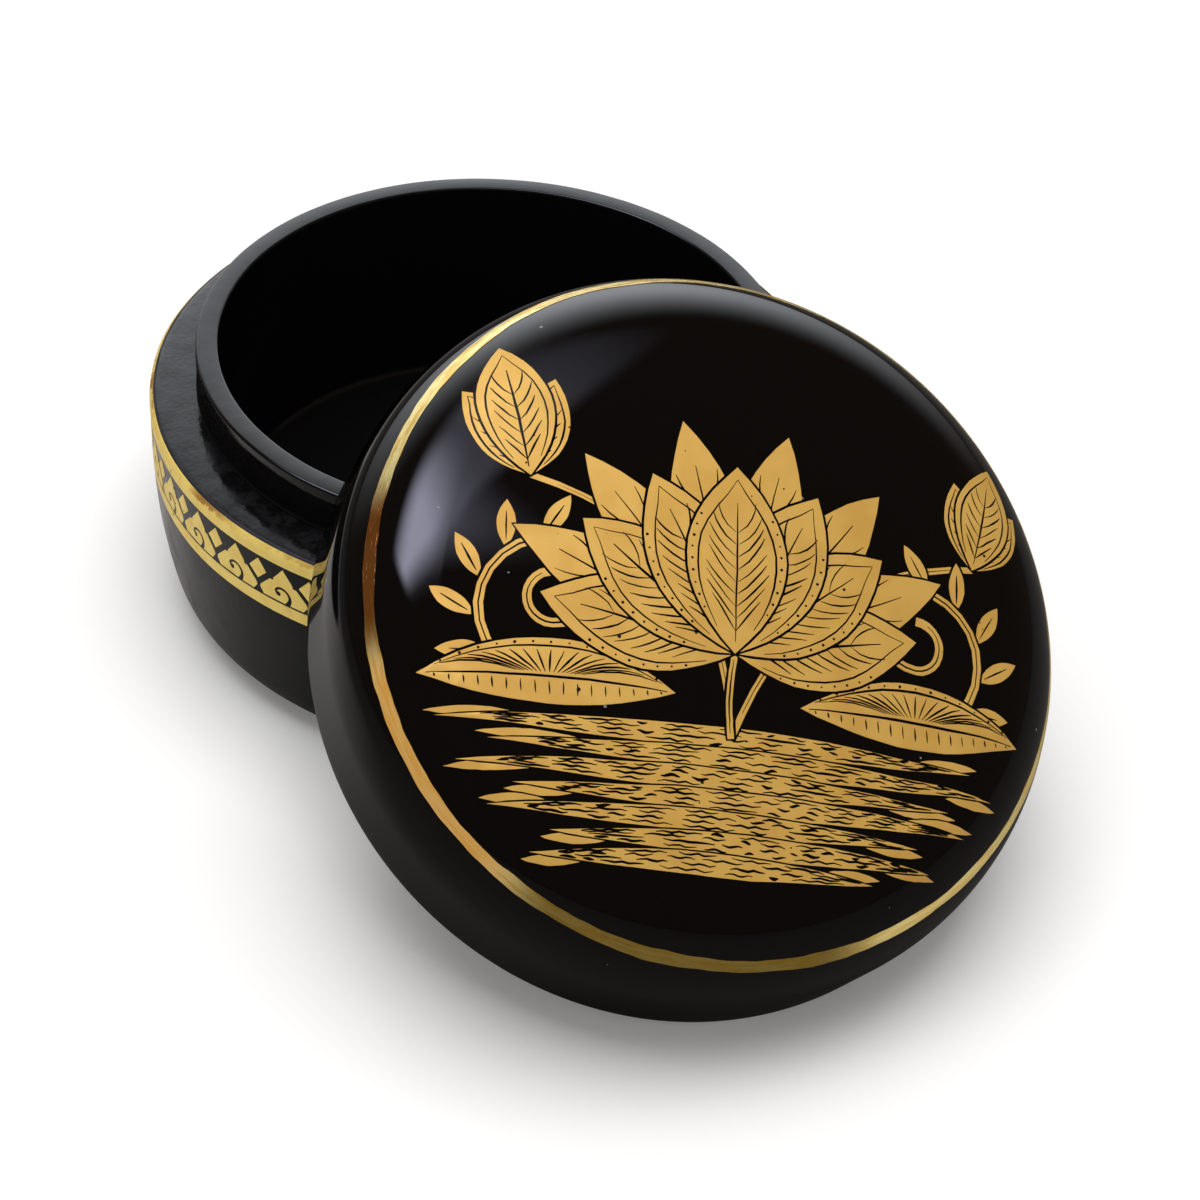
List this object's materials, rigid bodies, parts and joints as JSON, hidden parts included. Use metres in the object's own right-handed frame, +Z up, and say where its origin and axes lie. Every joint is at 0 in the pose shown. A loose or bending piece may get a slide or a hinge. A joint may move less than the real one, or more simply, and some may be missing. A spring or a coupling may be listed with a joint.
{
  "type": "round lidded box",
  "caption": "Round black lacquer keepsake box with a raised neck, its domed lid taken off and leaning against it, with gold bands and a gold water lily picture",
  "frame": {"origin": "centre of the box's flat foot, on the surface it stands on", "axes": "+Z up along the box's own axis; the lid that has been taken off leans out towards -Y"},
  "size_m": [0.1204, 0.1881, 0.0825],
  "materials": {
    "lacquer_box": "satin black lacquer",
    "lacquer_inside": "satin black lacquer",
    "lacquer_lid": "gloss black lacquer",
    "gold_band": "satin gold leaf",
    "gold_line": "polished gold leaf",
    "gold_picture": "satin gold leaf"
  },
  "bodies": {
    "box": {"box_wall": "lacquer_box", "bottom_board": "lacquer_inside", "neck_ring": "lacquer_inside", "band_top_line": "gold_band", "band_ornament": "gold_band", "band_low_line": "gold_band"},
    "lid": {"lid_hoop": "lacquer_lid", "lid_crown": "lacquer_lid", "lid_line": "gold_line", "lid_picture": "gold_picture"}
  },
  "joints": [
    {"name": "lid_lift", "type": "slide", "parent": "box", "child": "lid", "axis": [0, 0, 1], "range_m": [0, 0.1]}
  ]
}
